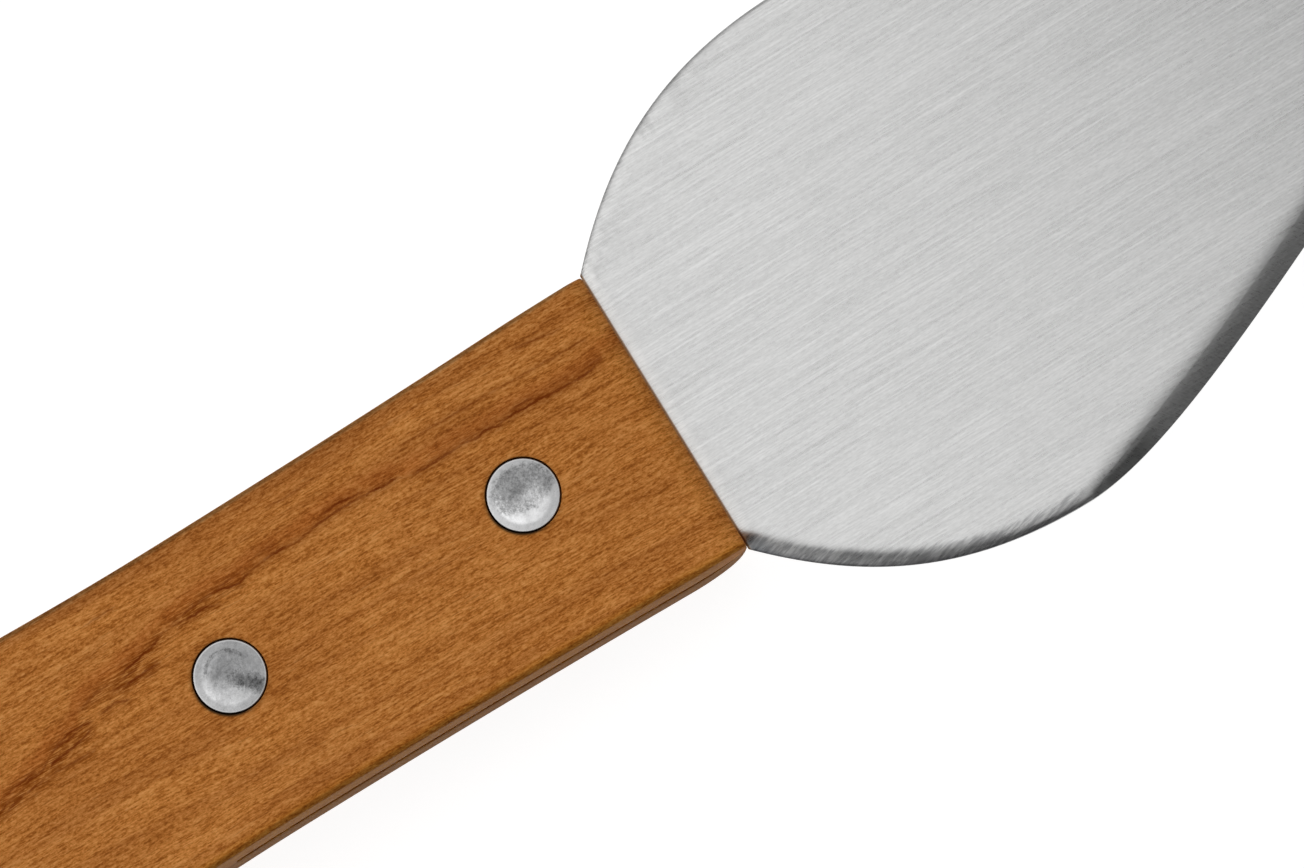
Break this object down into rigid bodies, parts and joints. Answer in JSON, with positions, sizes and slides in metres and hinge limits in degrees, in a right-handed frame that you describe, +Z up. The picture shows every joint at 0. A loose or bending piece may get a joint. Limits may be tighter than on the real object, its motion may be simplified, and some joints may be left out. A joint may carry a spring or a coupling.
{
  "type": "cheese knife",
  "caption": "Short almond-shaped hard-cheese knife: a stamped steel blade with a bevelled lower edge, held by dished rivets in a slotted one-piece wooden handle.",
  "frame": {"origin": "halfway between butt and tip, on the blade's centreline, on the plane that the handle's back face rests on", "axes": "+X along the knife towards the tip, +Y towards the spine (the sharpened edge is on -Y), +Z up through the thickness, away from the resting face"},
  "size_m": [0.18, 0.0462, 0.015],
  "materials": {
    "blade_steel": "fine brushing along the blade, brighter ground bevel on the sharpened edge",
    "handle_wood": "oiled reddish fruit wood, satin, short fine pores along the grain and one dark streak",
    "rivet_aluminium": "dull, pressed, with a pitted dish"
  },
  "bodies": {
    "root": {"blade": "blade_steel", "handle": "handle_wood", "front_rivet_female": "rivet_aluminium", "front_rivet_male": "rivet_aluminium", "rear_rivet_female": "rivet_aluminium", "rear_rivet_male": "rivet_aluminium"}
  },
  "joints": []
}
